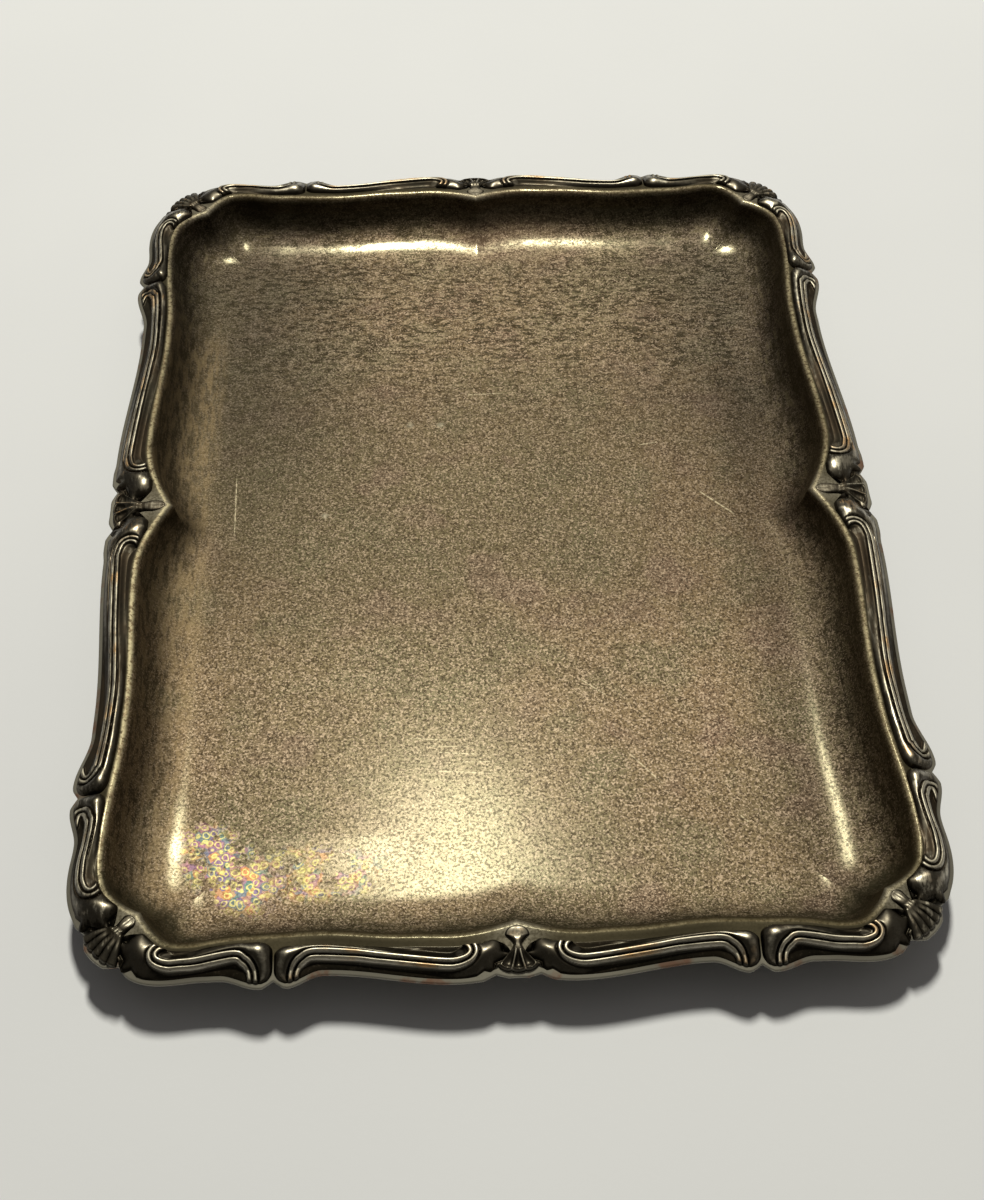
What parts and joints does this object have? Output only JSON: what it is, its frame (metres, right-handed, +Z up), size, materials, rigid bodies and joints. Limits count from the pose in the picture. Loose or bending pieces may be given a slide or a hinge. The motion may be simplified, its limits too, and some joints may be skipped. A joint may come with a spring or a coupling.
{
  "type": "dresser vanity tray",
  "caption": "Rectangular silver-plated vanity tray: a shallow pressed well with lobed, creased sides and a shell-and-scroll cast border soldered to its flange.",
  "frame": {"origin": "middle of the flat underside, on the table plane", "axes": "+Z up; +Y along the long way, away from the viewer; +X across the short way, to the viewer's right; the front end is at -Y"},
  "size_m": [0.206, 0.2822, 0.0157],
  "materials": {
    "pan_plate": "tarnished silver plate, warm grey-brown, densely speckled, satin",
    "scroll_castings": "tarnished silver plate, dark in the hollows, worn bright on the reeds",
    "shell_castings": "tarnished silver plate, dark flutes between worn bright ribs"
  },
  "bodies": {
    "root": {"corner_scroll_back_left": "scroll_castings", "corner_scroll_back_right": "scroll_castings", "corner_scroll_front_left": "scroll_castings", "corner_scroll_front_right": "scroll_castings", "corner_scroll_left_back": "scroll_castings", "corner_scroll_left_front": "scroll_castings", "corner_scroll_right_back": "scroll_castings", "corner_scroll_right_front": "scroll_castings", "corner_shell_back_left": "shell_castings", "corner_shell_back_right": "shell_castings", "corner_shell_front_left": "shell_castings", "corner_shell_front_right": "shell_castings", "end_scroll_back_left": "scroll_castings", "end_scroll_back_right": "scroll_castings", "end_scroll_front_left": "scroll_castings", "end_scroll_front_right": "scroll_castings", "long_scroll_left_back": "scroll_castings", "long_scroll_left_front": "scroll_castings", "long_scroll_right_back": "scroll_castings", "long_scroll_right_front": "scroll_castings", "side_shell_back": "shell_castings", "side_shell_front": "shell_castings", "side_shell_left": "shell_castings", "side_shell_right": "shell_castings", "tray_pan": "pan_plate"}
  },
  "joints": []
}
